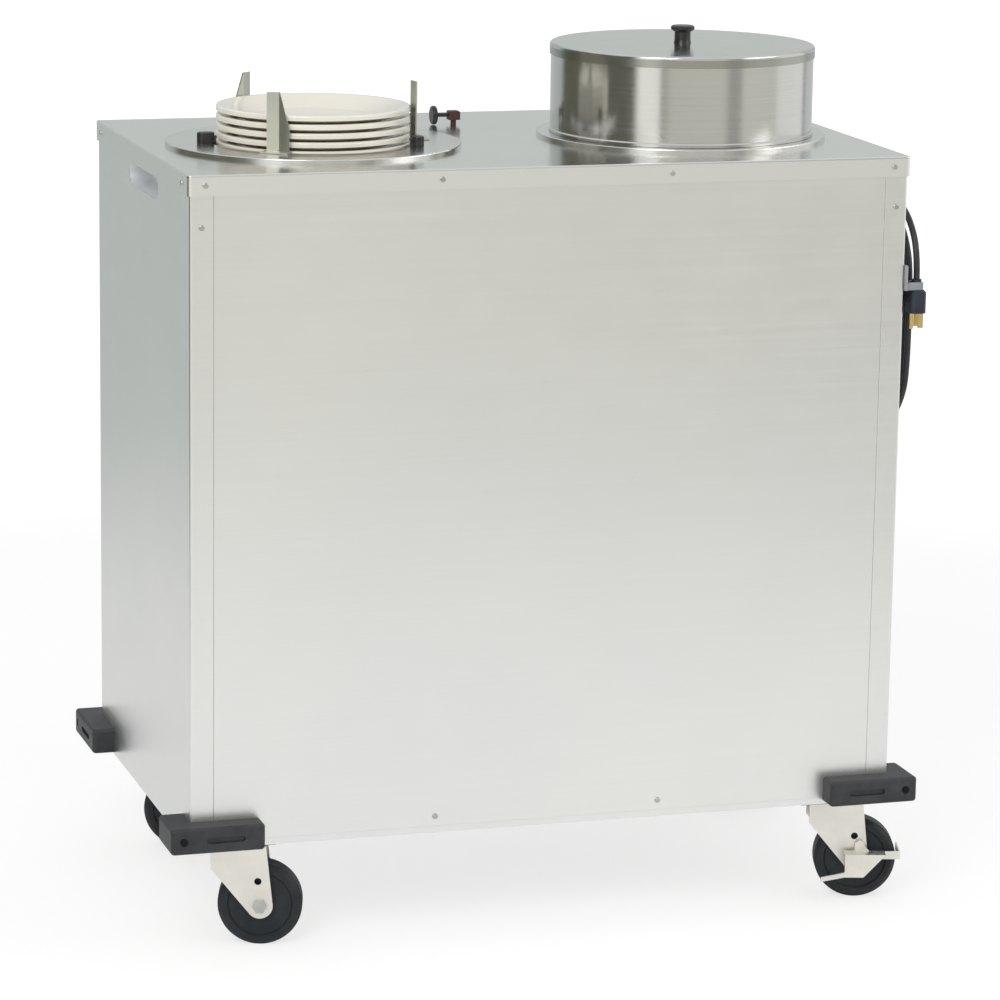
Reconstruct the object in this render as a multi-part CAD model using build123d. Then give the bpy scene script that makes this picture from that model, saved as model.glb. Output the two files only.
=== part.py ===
from build123d import *
import os
from math import cos, sin, sqrt, tan, pi, radians, degrees

# Heated plate dispenser: an enclosed steel cabinet on four casters with two
# self-levelling plate tubes in its top. Millimetres, +Z up, the front faces -Y.
# The origin is on the floor under the middle of the cabinet.

# Cabinet
cabinet_width = 870.0
cabinet_depth = 504.0
cabinet_height = 790.0
sheet = 1.5
corner_radius = 3.0
strip_width = 28.0
lip_depth = 12.0
seam = 0.2
seam_round = 0.5
sheet_fit = 0.2
top_sheet = 2.0
top_gap = 0.5
top_corner_radius = 5.0
top_edge_round = 1.6
skirt_height = 24.0
pan_wall = 30.0
pan_lip_gap = 2.0
fold_rise = 8.0
fold_height = 0.8
fold_depth = 0.4
press_length = 540.0
press_width = 300.0
press_depth = 6.0
press_round = 20.0

# Hand-holds in the two ends
hold_length = 165.0
hold_height = 26.0
hold_below_top = 39.0
hold_depth = 28.0
hold_offset = -8.0

# Corner bumpers
bumper_reach = 28.5
bumper_long_leg = 112.0
bumper_short_leg = 70.0
bumper_height = 31.0
bumper_lift = 3.0
bumper_corner_round = 5.0
bumper_edge_round = 4.0
bumper_slot_from_corner = 65.0
bumper_slot_length = 46.0
bumper_slot_height = 7.0
bumper_slot_depth = 3.0
bumper_dimple_from_corner = 15.0
bumper_dimple_radius = 5.0
bumper_dimple_depth = 2.5

# Casters
wheel_radius = 50.0
wheel_width = 32.0
wheel_web = 28.0
wheel_rim_inner = 37.0
wheel_hub_radius = 15.0
wheel_round = 5.0
wheel_drop = 80.0
wheel_side_gap = 1.0
caster_x = 376.0
caster_y = 203.0
caster_trail = 36.0
caster_swivel = -16.0
plate_length = 96.0
plate_width = 76.0
plate_thick = 4.0
race_radius = 21.0
race_height = 3.0
kingpin_radius = 8.0
kingpin_head_radius = 13.0
kingpin_head_height = 3.0
fork_thick = 3.0
fork_back = 22.0
fork_front = 7.5
fork_boss = 15.5
fork_slant = 45.0
fork_skirt = 27.0
fork_hole_radius = 4.3
fork_hole_back = 2.0
fork_hole_above_axle = 30.0
axle_radius = 6.0
axle_head_radius = 8.5
axle_head_height = 5.0
running_fit = 0.05

# Brake levers of the right-hand casters
brake_pivot_x = 4.0
brake_pivot_z = 20.0
brake_pin_radius = 3.0
brake_boss_radius = 6.0
brake_metal = 2.0
brake_gap = 0.7
brake_shoe_gap = 2.0
brake_shoe_low = 3.0
brake_shoe_high = 13.0
brake_shoe_reach = 10.0
brake_pedal_left = 15.0
brake_pedal_right = 35.0
brake_pedal_depth = 16.0
brake_web_right = 8.0
brake_web_drop = 16.0
brake_tail_left = 44.0
brake_tail_drop = 22.0
brake_tail_width = 6.0

# Plate tubes
tube_from_end = 204.0
tube_y = -18.0
tube_radius = 148.0
tube_bottom = 160.0
flange_radius = 176.0
flange_bore = 125.0
flange_height = 5.0
flange_edge_round = 1.4
flange_neck = 10.0
flange_hole_overlap = 8.0
collar_radius = 164.0
collar_below_top = 26.0
slot_width = 10.0
slot_margin = 6.0
slot_above_bottom = 34.0
floor_thick = 1.5

# Heating elements under the stacks
element_ring_radius = 95.0
element_radius = 4.0
element_above_floor = 18.0
element_lead_spacing = 24.0
element_lead_drop = 16.0
element_fit = 0.3

# Guide blades round each mouth
guide_angles = (121.0, 236.0, 356.0)
guide_inner_radius = 117.5
guide_width = 28.0
guide_fold = 3.5
guide_thick = 1.8
guide_above_top = 75.0
guide_top_width = 14.5
guide_taper_height = 43.0
guide_travel = 12.0
guide_floor_gap = 1.0
guide_side_gap = 1.0
foot_margin = 2.0
foot_thick = 1.5
seat_gap = 0.3

# Lock knobs of the guides
lock_angles = (178.0, 326.0)
lock_turns = (0.0, 90.0)
lock_ring_radius = 130.0
lock_knob_length = 21.0
lock_knob_width = 14.0
lock_knob_height = 12.0
lock_knob_round = 2.0
lock_stud_radius = 3.0
lock_stud_height = 8.0

# Plates
plate_radius = 115.5
plate_pitch = 10.4
plate_foot_height = 3.0
plate_foot_radius = 66.0
plate_foot_width = 7.0
plate_well_radius = 72.0
plate_height = 23.6
plate_rim_thick = 6.2
plate_rim_round = 2.4
plate_count = 24
stack_above_top = 48.0

# Carriers and their springs
carrier_radius = 105.0
carrier_thick = 1.5
carrier_rim = 12.0
carrier_top_below = 8.0
carrier_leg_drop = 262.0
carrier_leg_radius = 96.0
carrier_leg_width = 20.0
carrier_leg_thick = 2.0
carrier_ring_width = 8.0
carrier_ear_reach = 161.0
carrier_ear_width = 8.0
carrier_ear_height = 3.0
ear_turn = 60.0
spring_circle = 156.0
spring_radius = 5.5
spring_gap = 0.3
plate_seat_gap = 0.2

# Lid of the right-hand tube
lid_radius = 159.5
lid_sheet = 1.5
lid_top_above = 113.0
lid_band_height = 14.0
lid_band_step = 1.5
lid_hem_height = 3.0
lid_edge_round = 3.5
lid_knob_radius = 14.5
lid_knob_disc = 6.0
lid_knob_neck = 9.8
lid_knob_foot = 10.6
lid_knob_height = 21.0
lid_knob_round = 1.8

# Temperature control at the back of the top
control_x = -13.0
control_y = 134.0
control_block_length = 14.0
control_block_width = 13.0
control_block_rise = 6.0
control_block_height = 11.0
control_stem_radius = 3.5
control_axis_height = 12.0
control_knob_radius = 11.5
control_knob_width = 6.0
control_knob_gap = 15.5
control_knob_round = 2.0
spindle_radius = 2.5
spindle_depth = 9.0

# Mains switch in the rear panel
switch_x = -30.0
switch_below_top = 75.0
switch_open_width = 20.0
switch_open_height = 14.0
switch_frame = 3.0
switch_frame_thick = 2.0
switch_depth = 9.0
rocker_side_gap = 0.5
rocker_end_gap = 1.2
rocker_proud = 2.5
rocker_depth = 9.0
rocker_pin_radius = 1.5
rocker_pin_length = 1.4

# Mains cord wound on two hooks at the right-hand end
cord_diameter = 7.6
cord_standoff = 19.0
cord_bend_share = 0.45
winding_y = -128.8
winding_z = 715.6
winding_inner_radius = 70.0
winding_pitch = 8.4
winding_start_radius = 62.0
winding_straight = 86.0
winding_turns = 3
winding_end_run = 8.0
winding_neighbour = 0.6
lead_points = (
    (-191, 711),
    (-191, 687),
    (-196, 662),
    (-190, 639),
    (-175, 620),
    (-153, 610.6),
    (-128.8, 610.6),
)
tail_points = ((-141, 858), (-172, 858), (-213, 843), (-244, 807), (-244, 771))
gland_base_radius = 11.0
gland_base_thick = 3.0
gland_body_radius = 8.0
gland_boot_length = 26.0
gland_boot_tip = 5.0
hook_width = 13.0
hook_thick = 3.0
hook_gap = 0.8
hook_reach = 28.0
hook_lip = 29.0
hook_base_height = 30.0
plug_width = 24.0
plug_thick = 20.0
plug_body_length = 28.0
plug_neck_length = 12.0
plug_neck_radius = 6.0
plug_round = 3.0
blade_width = 6.35
blade_thick = 1.5
blade_length = 18.0
blade_spacing = 12.7
blade_seat = 4.0
ground_radius = 2.4
ground_offset = 5.0
blade_offset = 4.0
clip_width = 24.0
clip_height = 30.0
clip_base = 3.0
clip_finger = 3.0
clip_finger_height = 9.0
clip_gap = 0.3
clip_reach = 24.0

# Screws
screw_radius = 3.4
screw_height = 1.6
screw_round = 0.9
front_screw_columns = (-139.0, 139.0)
front_screw_rise = 20.0
strip_screw_drop = 60.0
skirt_screw_columns = (-417.0, -139.0, 139.0, 417.0)

# Worked out from the sizes above
cab_bottom = wheel_radius + wheel_drop
cab_top = cab_bottom + cabinet_height
half_width = cabinet_width / 2
half_depth = cabinet_depth / 2
tube_x = half_width - tube_from_end
panel_top = cab_top - top_sheet
flange_top = cab_top + flange_height
flange_under = flange_top - sheet
collar_z = cab_top - collar_below_top
tube_inner = tube_radius - sheet
floor_top = tube_bottom + floor_thick
ear_angles = tuple(angle + ear_turn for angle in guide_angles)
guide_back = guide_inner_radius + guide_fold + guide_thick
notch_radius = guide_back + guide_travel + guide_side_gap
foot_radius = notch_radius + foot_margin
stack_height = (plate_count - 1) * plate_pitch + plate_height
carrier_high = cab_top - carrier_top_below
slot_low = tube_bottom + slot_above_bottom
carrier_left = cab_top + stack_above_top - stack_height - plate_seat_gap
cord_x = half_width + cord_standoff
cord_radius = cord_diameter / 2

os.makedirs("parts", exist_ok=True)


def span(x_range, y_range, z_range):
    """A box between two x, two y and two z values."""
    low = (min(x_range), min(y_range), min(z_range))
    size = (abs(x_range[1] - x_range[0]), abs(y_range[1] - y_range[0]), abs(z_range[1] - z_range[0]))
    return Pos(*low) * Box(*size, align=(Align.MIN, Align.MIN, Align.MIN))


def post(radius, z_low, z_high, x=0.0, y=0.0):
    """An upright cylinder between two heights."""
    body = Cylinder(radius, z_high - z_low, align=(Align.CENTER, Align.CENTER, Align.MIN))
    return Pos(x, y, z_low) * body


def pin_along_x(radius, x_low, x_high, y, z):
    """A cylinder that lies along X."""
    body = Cylinder(radius, x_high - x_low, align=(Align.CENTER, Align.CENTER, Align.MIN))
    return Pos(x_low, y, z) * Rot(0, 90, 0) * body


def pin_along_y(radius, y_low, y_high, x, z):
    """A cylinder that lies along Y."""
    body = Cylinder(radius, y_high - y_low, align=(Align.CENTER, Align.CENTER, Align.MIN))
    return Pos(x, y_low, z) * Rot(-90, 0, 0) * body


def turned(points, x=0.0, y=0.0):
    """A closed outline of (radius, height) points, turned about the upright axis."""
    outline = Plane.XZ * make_face(Polyline(*points, close=True))
    return Pos(x, y, 0) * revolve(outline, Axis.Z, 360)


def around(angle, shape):
    """A shape drawn at angle zero, swung to its place round the upright axis."""
    return Rot(0, 0, angle) * shape


def save(name, shape):
    """Write one node: one solid, or a group of like solids."""
    export_step(shape, "parts/" + name + ".step")


def at_corner(side, front, shape):
    """A shape drawn for the front left corner of the cabinet, moved to any of the four."""
    turn = 0 if front < 0 else -90
    placed = Pos(-half_width, front * half_depth, 0) * Rot(0, 0, turn) * shape
    if side > 0:
        placed = mirror(placed, Plane.YZ)
    return placed


def group(shapes):
    """Several like solids that share a node."""
    solids = [solid for shape in shapes for solid in shape.solids()]
    return Compound(children=solids)


# Cabinet shell

def shell_ring(z_low, z_high):
    outer = extrude(RectangleRounded(cabinet_width, cabinet_depth, corner_radius), z_high - z_low)
    inner = extrude(
        RectangleRounded(cabinet_width - 2 * sheet, cabinet_depth - 2 * sheet, corner_radius - sheet),
        z_high - z_low,
    )
    return Pos(0, 0, z_low) * (outer - inner)


def hold_outline(extra):
    length = hold_length + 2 * extra
    height = hold_height + 2 * extra
    return SlotOverall(length, height)


def hold_block(side, extra, x_low, x_high):
    """The rounded slot of a hand-hold, between two distances from the middle plane."""
    outline = Plane(origin=(0, hold_offset, cab_top - hold_below_top), x_dir=(0, 1, 0), z_dir=(1, 0, 0))
    block = extrude(outline * hold_outline(extra), x_high - x_low)
    start = x_low if side > 0 else -x_high
    return Pos(start, 0, 0) * block


def side_panel(side):
    """An end of the cabinet: the sheet, its returns on front and back, and their lips."""
    ring = shell_ring(cab_bottom, panel_top)
    edge = side * half_width
    inner = side * (half_width - strip_width)
    panel = ring & span((edge, inner), (-half_depth, half_depth), (cab_bottom, panel_top))
    lip_low = cab_bottom + pan_wall + pan_lip_gap
    for front in (-1, 1):
        outer_y = front * half_depth
        panel += span(
            (inner, inner + side * sheet),
            (outer_y, outer_y - front * lip_depth),
            (lip_low, panel_top),
        )
    panel -= hold_block(side, 0, half_width - 2 * sheet, half_width + sheet)
    return round_seams(panel, inner)


def round_seams(panel, seam_x):
    """Round the outer bends where a return meets the front or rear panel."""
    edges = [
        edge
        for edge in panel.edges().filter_by(Axis.Z)
        if abs(edge.center().X - seam_x) < sheet_fit and abs(abs(edge.center().Y) - half_depth) < sheet_fit
    ]
    return fillet(edges, seam_round)


def face_panel(front):
    """The front or rear sheet with a flange down each side."""
    edge = half_width - strip_width - seam
    outer_y = front * half_depth
    lip_low = cab_bottom + pan_wall + pan_lip_gap
    panel = span((-edge, edge), (outer_y, outer_y - front * sheet), (cab_bottom, panel_top))
    for side in (-1, 1):
        panel += span(
            (side * edge, side * (edge - sheet)),
            (outer_y, outer_y - front * lip_depth),
            (lip_low, panel_top),
        )
    for side in (-1, 1):
        panel = round_seams(panel, side * edge)
    fold_low = cab_bottom + fold_rise
    return panel - span(
        (-edge - sheet, edge + sheet),
        (outer_y + front * sheet, outer_y - front * fold_depth),
        (fold_low, fold_low + fold_height),
    )


def rear_panel():
    z_mid = cab_top - switch_below_top
    opening = span(
        (switch_x - switch_open_width / 2 - sheet, switch_x + switch_open_width / 2 + sheet),
        (half_depth - 2 * sheet, half_depth + sheet),
        (z_mid - switch_open_height / 2 - sheet, z_mid + switch_open_height / 2 + sheet),
    )
    return face_panel(1) - opening


def base_pan():
    """A folded tray with a pressed-down flat between the casters."""
    width = cabinet_width - 2 * (sheet + sheet_fit)
    depth = cabinet_depth - 2 * (sheet + sheet_fit)
    tray = extrude(RectangleRounded(width, depth, corner_radius - sheet), pan_wall)
    hollow = extrude(RectangleRounded(width - 2 * sheet, depth - 2 * sheet, sheet / 2), pan_wall)
    tray -= Pos(0, 0, sheet) * hollow
    drop = extrude(RectangleRounded(press_length, press_width, press_round), press_depth + sheet / 2)
    dish = extrude(
        RectangleRounded(press_length - 2 * sheet, press_width - 2 * sheet, press_round - sheet),
        press_depth + sheet,
    )
    tray += Pos(0, 0, -press_depth) * drop
    tray -= Pos(0, 0, sheet - press_depth) * dish
    return Pos(0, 0, cab_bottom) * tray


def top_panel():
    """The top sheet with its skirt and a hole for each tube."""
    grow = top_gap + top_sheet
    width = cabinet_width + 2 * grow
    depth = cabinet_depth + 2 * grow
    skirt_low = cab_top - skirt_height
    solid = extrude(RectangleRounded(width, depth, top_corner_radius), skirt_height)
    solid = fillet(solid.faces().sort_by(Axis.Z)[-1].edges(), top_edge_round)
    inner_width = cabinet_width + 2 * top_gap
    inner_depth = cabinet_depth + 2 * top_gap
    hollow = extrude(
        RectangleRounded(inner_width, inner_depth, top_corner_radius - top_sheet),
        skirt_height - top_sheet,
    )
    panel = Pos(0, 0, skirt_low) * (solid - hollow)
    for side in (-1, 1):
        hole = flange_radius - flange_hole_overlap
        panel -= post(hole, skirt_low, cab_top + sheet, side * tube_x, tube_y)
    return panel


def hold_cup(side):
    """The recessed cup behind a hand-hold."""
    face = half_width - sheet
    cup = hold_block(side, sheet, face - hold_depth, face)
    floor_side = hold_block(side, 0, face - hold_depth + sheet, face)
    return cup - floor_side


def bumper():
    """A moulded bumper for the front left corner: a long leg in front, a short one on the end."""
    z_low = cab_bottom + bumper_lift
    z_high = z_low + bumper_height
    z_mid = (z_low + z_high) / 2
    outer = -bumper_reach
    long_leg = span((outer, outer + bumper_long_leg), (outer, 0), (z_low, z_high))
    short_leg = span((outer, 0), (outer, outer + bumper_short_leg), (z_low, z_high))
    body = (long_leg + short_leg).clean()
    corners = [
        edge
        for edge in body.edges().filter_by(Axis.Z)
        if min(edge.center().X, edge.center().Y) < outer + sheet_fit
    ]
    body = fillet(corners, bumper_corner_round)
    rims = [
        edge
        for edge in body.edges()
        if abs(edge.center().Z - z_low) < sheet_fit or abs(edge.center().Z - z_high) < sheet_fit
    ]
    free_rims = [edge for edge in rims if min(abs(edge.center().X), abs(edge.center().Y)) > sheet_fit]
    body = fillet(free_rims, bumper_edge_round)
    slot_plane = Plane(
        origin=(outer + bumper_slot_from_corner, outer, z_mid), x_dir=(1, 0, 0), z_dir=(0, -1, 0)
    )
    slot = SlotOverall(bumper_slot_length, bumper_slot_height)
    body -= extrude(slot_plane * slot, bumper_slot_depth, both=True)
    dimple_x = outer + bumper_dimple_from_corner
    return body - pin_along_y(
        bumper_dimple_radius, outer - sheet, outer + bumper_dimple_depth, dimple_x, z_mid
    )


# Casters

def caster_places():
    return [(side, front) for front in (-1, 1) for side in (-1, 1)]


def swivelled(side, front, shape):
    """A shape drawn with its fork trailing to the right, swung about the kingpin."""
    x = side * caster_x
    y = front * caster_y
    return Pos(x, y, 0) * Rot(0, 0, caster_swivel) * Pos(-x, -y, 0) * shape


def caster_plate(side, front):
    """The fixed plate of a caster with its race and kingpin."""
    x = side * caster_x
    y = front * caster_y
    z_plate = cab_bottom - plate_thick
    fork_high = z_plate - race_height
    fork_low = fork_high - fork_thick
    flat = extrude(RectangleRounded(plate_length, plate_width, corner_radius), plate_thick)
    body = Pos(x, y, z_plate) * flat
    body += post(race_radius, fork_high + running_fit, z_plate, x, y)
    body += post(kingpin_radius, fork_low, fork_high + race_height, x, y)
    body += post(kingpin_head_radius, fork_low - kingpin_head_height, fork_low - running_fit, x, y)
    return body


def fork_leg(x, y_low, y_high, z_high):
    """One side of the fork: wide at the crown, round at the axle, with a hole above it."""
    axle_x = x + caster_trail
    crown_low = z_high - fork_skirt
    boss_x = axle_x - fork_boss * cos(radians(fork_slant))
    boss_z = wheel_radius - fork_boss * sin(radians(fork_slant))
    outline = Polyline(
        (x - fork_back, z_high),
        (axle_x + fork_front, z_high),
        (axle_x + fork_boss, wheel_radius),
        (boss_x, boss_z),
        (x - fork_back, crown_low),
        close=True,
    )
    plate = Plane.XZ * make_face(outline)
    leg = Pos(0, y_high, 0) * extrude(plate, y_high - y_low)
    leg += pin_along_y(fork_boss, y_low, y_high, axle_x, wheel_radius)
    hole_z = wheel_radius + fork_hole_above_axle
    return leg - pin_along_y(
        fork_hole_radius, y_low - sheet, y_high + sheet, axle_x - fork_hole_back, hole_z
    )


def caster_fork(side, front):
    """The swivelling fork that trails the wheel."""
    x = side * caster_x
    y = front * caster_y
    z_high = cab_bottom - plate_thick - race_height
    half_gap = wheel_width / 2 + fork_thick
    half_outer = half_gap + fork_thick
    axle_x = x + caster_trail
    crown = span(
        (x - fork_back, axle_x + fork_front),
        (y - half_outer, y + half_outer),
        (z_high - fork_thick, z_high),
    )
    fork = crown + fork_leg(x, y - half_outer, y - half_gap, z_high)
    fork += fork_leg(x, y + half_gap, y + half_outer, z_high)
    fork -= post(kingpin_radius + running_fit, z_high - fork_thick - sheet, z_high + sheet, x, y)
    y_low = y - half_outer - sheet
    fork -= pin_along_y(axle_radius + running_fit, y_low, y + half_outer + sheet, axle_x, wheel_radius)
    if side > 0:
        pivot_x = axle_x + brake_pivot_x
        pivot_z = wheel_radius + brake_pivot_z
        fork -= pin_along_y(brake_pin_radius + running_fit, y_low, y - half_gap + sheet, pivot_x, pivot_z)
    return fork


def caster_wheel(side, front):
    """A moulded wheel with a dished web and a hub."""
    half_tread = wheel_width / 2
    half_web = wheel_web / 2
    half_hub = wheel_width / 2 + fork_thick - wheel_side_gap
    bore = axle_radius + running_fit
    points = (
        (bore, -half_hub),
        (wheel_hub_radius, -half_hub),
        (wheel_hub_radius, -half_web),
        (wheel_rim_inner, -half_web),
        (wheel_rim_inner + sheet, -half_tread),
        (wheel_radius - wheel_round, -half_tread),
        (wheel_radius, -half_tread + wheel_round),
        (wheel_radius, half_tread - wheel_round),
        (wheel_radius - wheel_round, half_tread),
        (wheel_rim_inner + sheet, half_tread),
        (wheel_rim_inner, half_web),
        (wheel_hub_radius, half_web),
        (wheel_hub_radius, half_hub),
        (bore, half_hub),
    )
    wheel = Rot(90, 0, 0) * turned(points)
    return Pos(side * caster_x + caster_trail, front * caster_y, wheel_radius) * wheel


def hex_head(across, height):
    return extrude(RegularPolygon(across, 6), height)


def caster_axle(side, front):
    """The axle bolt with its head and nut outside the fork."""
    x = side * caster_x + caster_trail
    y = front * caster_y
    half_outer = wheel_width / 2 + 2 * fork_thick
    bolt = pin_along_y(axle_radius, y - half_outer, y + half_outer, x, wheel_radius)
    head = Rot(90, 0, 0) * hex_head(axle_head_radius, axle_head_height)
    nut = Rot(-90, 0, 0) * hex_head(axle_head_radius, axle_head_height)
    bolt += Pos(x, y - half_outer, wheel_radius) * head
    bolt += Pos(x, y + half_outer, wheel_radius) * nut
    return bolt


def brake_lever(front):
    """A side lever: pivot pin, arm, a shoe across the tread and a folded pedal in front."""
    axle_x = caster_x + caster_trail
    axle_z = wheel_radius
    y = front * caster_y
    leg_outer = y - wheel_width / 2 - 2 * fork_thick
    arm_high = leg_outer - axle_head_height - brake_gap
    arm_low = arm_high - brake_metal
    shoe_low_x = wheel_radius + brake_shoe_gap
    shoe_high_x = shoe_low_x + brake_metal
    web_low = arm_low - brake_pedal_depth
    pedal_top = brake_shoe_high
    arm = Polyline(
        (brake_pivot_x - brake_boss_radius, brake_pivot_z),
        (brake_pivot_x + brake_boss_radius, brake_pivot_z),
        (brake_pivot_x + 2 * brake_boss_radius, pedal_top),
        (shoe_high_x, pedal_top),
        (shoe_high_x, brake_shoe_low),
        (brake_pivot_x - brake_boss_radius, brake_shoe_low),
        close=True,
    )
    web = Polyline(
        (-brake_pedal_left, pedal_top),
        (brake_pedal_right, pedal_top),
        (brake_web_right, -brake_web_drop),
        (-brake_pedal_left, -brake_web_drop),
        (-brake_tail_left, -brake_tail_drop),
        (-brake_tail_left, brake_tail_width - brake_tail_drop),
        (-brake_pedal_left, brake_tail_width - brake_web_drop),
        close=True,
    )
    lever = Pos(0, arm_high, 0) * extrude(Plane.XZ * make_face(arm), brake_metal)
    lever += Pos(0, web_low + brake_metal, 0) * extrude(Plane.XZ * make_face(web), brake_metal)
    lever += span(
        (-brake_pedal_left, brake_pedal_right),
        (web_low, arm_high),
        (pedal_top - brake_metal, pedal_top),
    )
    lever += span(
        (shoe_low_x, shoe_high_x),
        (arm_low, y + brake_shoe_reach),
        (brake_shoe_low, brake_shoe_high),
    )
    lever += pin_along_y(brake_boss_radius, arm_low, arm_high, brake_pivot_x, brake_pivot_z)
    lever += pin_along_y(brake_boss_radius, arm_high, leg_outer - brake_gap, brake_pivot_x, brake_pivot_z)
    lever += pin_along_y(brake_pin_radius, arm_high, leg_outer + fork_thick, brake_pivot_x, brake_pivot_z)
    return Pos(axle_x, 0, axle_z) * lever


# Plate tubes

def silo_flange(side):
    """The ring on the top: a turned-down rim, slots for the guides and studs for the knobs."""
    points = (
        (flange_bore, flange_top),
        (flange_radius, flange_top),
        (flange_radius, cab_top),
        (flange_radius - sheet, cab_top),
        (flange_radius - sheet, flange_under),
        (flange_bore + sheet, flange_under),
        (flange_bore + sheet, flange_top - flange_neck),
        (flange_bore, flange_top - flange_neck),
    )
    ring = turned(points)
    rims = ring.edges().filter_by(GeomType.CIRCLE).group_by(Axis.Z)[-1]
    ring = fillet(rims, flange_edge_round)
    half_slot = guide_width / 2 + guide_side_gap
    for angle in guide_angles:
        notch = span(
            (carrier_radius, notch_radius),
            (-half_slot, half_slot),
            (flange_top - flange_neck - sheet, flange_top + sheet),
        )
        ring -= around(angle, notch)
    for angle in lock_angles:
        stud = post(lock_stud_radius, flange_under, flange_top + lock_stud_height, lock_ring_radius, 0)
        ring += around(angle, stud)
    return Pos(side * tube_x, tube_y, 0) * ring


def silo_tube(side):
    """The slotted tube that hangs from the ring, with a collar for the springs."""
    points = (
        (tube_inner, tube_bottom),
        (tube_radius, tube_bottom),
        (tube_radius, collar_z),
        (collar_radius, collar_z),
        (collar_radius, collar_z + sheet),
        (tube_radius, collar_z + sheet),
        (tube_radius, flange_under),
        (tube_inner, flange_under),
    )
    tube = turned(points)
    slot_high = carrier_high - carrier_leg_drop + carrier_ear_height + slot_margin
    half_slot = slot_width / 2
    for angle in ear_angles:
        slot = span((carrier_radius, collar_radius), (-half_slot, half_slot), (slot_low, slot_high))
        tube -= around(angle, slot)
    return Pos(side * tube_x, tube_y, 0) * tube


def element_end(lead):
    """The swing from the middle of the element's gap to one of its leads."""
    return Rot(0, 0, lead * degrees(element_lead_spacing / 2 / element_ring_radius))


def silo_floor(side):
    """The disc that closes a tube, with holes for the leads of its element."""
    disc = post(tube_inner - sheet_fit, tube_bottom, floor_top)
    for lead in (-1, 1):
        place = element_end(lead) * Pos(element_ring_radius, 0, 0)
        disc -= place * post(element_radius + element_fit, tube_bottom - sheet, floor_top + sheet)
    return Pos(side * tube_x, tube_y, 0) * disc


def heater_element(side):
    """A tubular ring element whose two leads drop through the tube's floor."""
    z = floor_top + element_above_floor
    gap_angle = 2 * degrees(element_lead_spacing / 2 / element_ring_radius)
    ring_path = Pos(0, 0, z) * CenterArc((0, 0, 0), element_ring_radius, gap_angle / 2, 360 - gap_angle)
    section = Plane(origin=ring_path @ 0, z_dir=ring_path % 0) * Circle(element_radius)
    element = sweep(section, path=ring_path)
    for lead in (-1, 1):
        place = element_end(lead) * Pos(element_ring_radius, 0, 0)
        element += place * post(element_radius, tube_bottom - element_lead_drop, z)
        element += place * Pos(0, 0, z) * Sphere(element_radius)
    return Pos(side * tube_x, tube_y, 0) * element


def guide(side, angle):
    """A folded guide blade that runs the depth of the tube, with a foot over its slot."""
    low = floor_top + guide_floor_gap
    high = cab_top + guide_above_top
    half = guide_width / 2
    inner = guide_inner_radius
    outline = Polyline(
        (inner, 0),
        (inner + guide_fold, half),
        (inner + guide_fold + guide_thick, half),
        (inner + guide_thick, 0),
        (inner + guide_fold + guide_thick, -half),
        (inner + guide_fold, -half),
        close=True,
    )
    blade = Pos(0, 0, low) * extrude(make_face(outline), high - low)
    taper = Polyline(
        (half, high - guide_taper_height),
        (half + sheet, high - guide_taper_height),
        (half + sheet, high + sheet),
        (guide_top_width - half, high + sheet),
        (guide_top_width - half, high),
        close=True,
    )
    cutter = Plane.YZ * make_face(taper)
    blade -= Pos(carrier_radius, 0, 0) * extrude(cutter, tube_radius - carrier_radius)
    foot_z = flange_top + seat_gap
    foot_half = half + guide_side_gap + foot_margin
    foot = span((inner + guide_fold, foot_radius), (-foot_half, foot_half), (foot_z, foot_z + foot_thick))
    return Pos(side * tube_x, tube_y, 0) * around(angle, blade + foot)


def lock_knob(side, angle, turn):
    """A small bar knob that turns on its stud."""
    z_low = flange_top + seat_gap
    knob = Pos(0, 0, z_low) * extrude(SlotOverall(lock_knob_length, lock_knob_width), lock_knob_height)
    knob = fillet(knob.faces().sort_by(Axis.Z)[-1].edges(), lock_knob_round)
    bore_high = flange_top + lock_stud_height + seat_gap
    knob -= post(lock_stud_radius + running_fit, z_low - sheet, bore_high)
    place = Rot(0, 0, angle) * Pos(lock_ring_radius, 0, 0) * Rot(0, 0, turn - angle)
    return Pos(side * tube_x, tube_y, 0) * place * knob


# Plates, carriers and springs

def plate():
    """A stacking plate: foot ring, flat well and a raised rim of even thickness."""
    rim_low = plate_height - plate_rim_thick
    foot_in = plate_foot_radius - plate_foot_width
    points = (
        (0, plate_foot_height),
        (foot_in, plate_foot_height),
        (foot_in + sheet, 0),
        (plate_foot_radius - sheet, 0),
        (plate_foot_radius, plate_foot_height),
        (plate_well_radius + plate_foot_height, plate_foot_height + sheet),
        (plate_radius - sheet, rim_low),
        (plate_radius, rim_low),
        (plate_radius, plate_height),
        (plate_radius - plate_rim_thick, plate_height),
        (plate_well_radius, plate_pitch),
        (0, plate_pitch),
    )
    body = turned(points)
    circles = body.edges().filter_by(GeomType.CIRCLE)
    return fillet(circles.filter_by_position(Axis.Z, plate_height - sheet, plate_height), plate_rim_round)


def plate_stack():
    """The left-hand stack, each plate standing on the one below."""
    first = carrier_left + plate_seat_gap
    one = plate()
    heights = [first + number * plate_pitch for number in range(plate_count)]
    return group([Pos(-tube_x, tube_y, height) * one for height in heights])


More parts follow.
